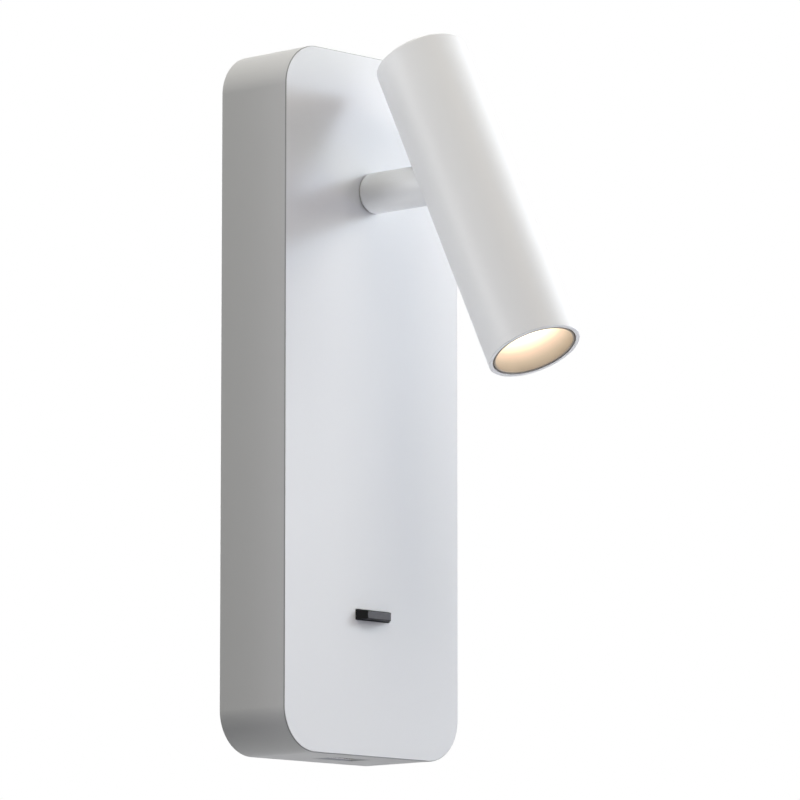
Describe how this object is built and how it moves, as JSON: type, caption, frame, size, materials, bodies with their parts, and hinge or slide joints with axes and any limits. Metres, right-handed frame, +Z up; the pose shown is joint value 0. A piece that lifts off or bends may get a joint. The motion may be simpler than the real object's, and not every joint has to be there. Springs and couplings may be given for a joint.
{
  "type": "wall spotlight",
  "caption": "Wall spotlight: upright box base with a paddle switch and a charging port below, and a slim tube head that tilts on a short swivelling arm.",
  "frame": {"origin": "middle of the back face, in the plane of the wall", "axes": "+Y into the wall, +Z up, +X to the right of someone who faces the light"},
  "size_m": [0.075, 0.1051, 0.2147],
  "materials": {
    "white_paint": "satin powder coat",
    "zinc_steel": "zinc plated",
    "black_steel": "black oxide",
    "brass": "plain",
    "aluminium": "turned",
    "cone_metal": "satin anodised",
    "black_rubber": "matt",
    "white_nylon": "matt",
    "lever_plastic": "satin",
    "switch_plastic": "matt",
    "driver_plastic": "matt",
    "terminal_plastic": "matt",
    "port_plastic": "matt",
    "port_steel": "nickel plated",
    "board_green": "solder mask",
    "board_white": "solder mask on aluminium",
    "winding_tape": "tape",
    "capacitor_sleeve": "sleeve",
    "fibre": "fibre",
    "led_face": "phosphor",
    "lens_clear": "clear",
    "lead_pvc": "smooth",
    "lead_white": "smooth"
  },
  "bodies": {
    "base": {"base_housing": "white_paint", "wall_bracket": "zinc_steel", "cover_screws": "zinc_steel", "cable_grommet": "black_rubber", "cable_clamp": "white_nylon", "cable_clamp_screws": "zinc_steel", "led_driver": "driver_plastic", "driver_screws": "zinc_steel", "terminal_block": "terminal_plastic", "terminal_screws": "brass", "block_screws": "zinc_steel", "earth_tag": "brass", "earth_screw": "brass", "switch_body": "switch_plastic", "switch_tags": "brass", "switch_screws": "zinc_steel", "port_surround": "port_plastic", "port_shell": "port_steel", "port_tongue": "white_nylon", "port_contacts": "brass", "supply_board": "board_green", "supply_transformer": "winding_tape", "supply_capacitor": "capacitor_sleeve", "board_screws": "zinc_steel", "swivel_bush": "white_nylon", "supply_leads": "lead_pvc", "driver_leads": "lead_white", "switch_lead": "lead_pvc", "charging_lead": "lead_pvc", "earth_lead": "lead_pvc"},
    "arm": {"arm": "white_paint", "stop_washer": "zinc_steel", "wave_washer": "zinc_steel", "lock_nut": "zinc_steel", "pivot_bolt": "black_steel", "pivot_nut": "zinc_steel", "friction_washers": "fibre", "arm_leads": "lead_white"},
    "head": {"head_tube": "white_paint", "end_cap": "white_paint", "tilt_carrier": "aluminium", "carrier_screw": "black_steel", "heat_sink": "aluminium", "heat_sink_screws": "zinc_steel", "led_board": "board_white", "led_board_screws": "zinc_steel", "led_chip": "led_face", "lens": "lens_clear", "lens_holder": "white_nylon", "mouth_cone": "cone_metal", "head_leads": "lead_white"},
    "lever": {"switch_lever": "lever_plastic"}
  },
  "joints": [
    {"name": "arm_swivel", "type": "hinge", "parent": "base", "child": "arm", "pos_m": [0, -0.027, 0.06413], "axis": [0, 1, 0], "range_deg": [-165, 165]},
    {"name": "head_tilt", "type": "hinge", "parent": "arm", "child": "head", "pos_m": [0, -0.06575, 0.06413], "axis": [-1, 0, 0], "range_deg": [-26.1, 9.9]},
    {"name": "switch_rock", "type": "hinge", "parent": "base", "child": "lever", "pos_m": [0, -0.0257, -0.06381], "axis": [-1, 0, 0], "range_deg": [-4.2, 7.8]}
  ]
}
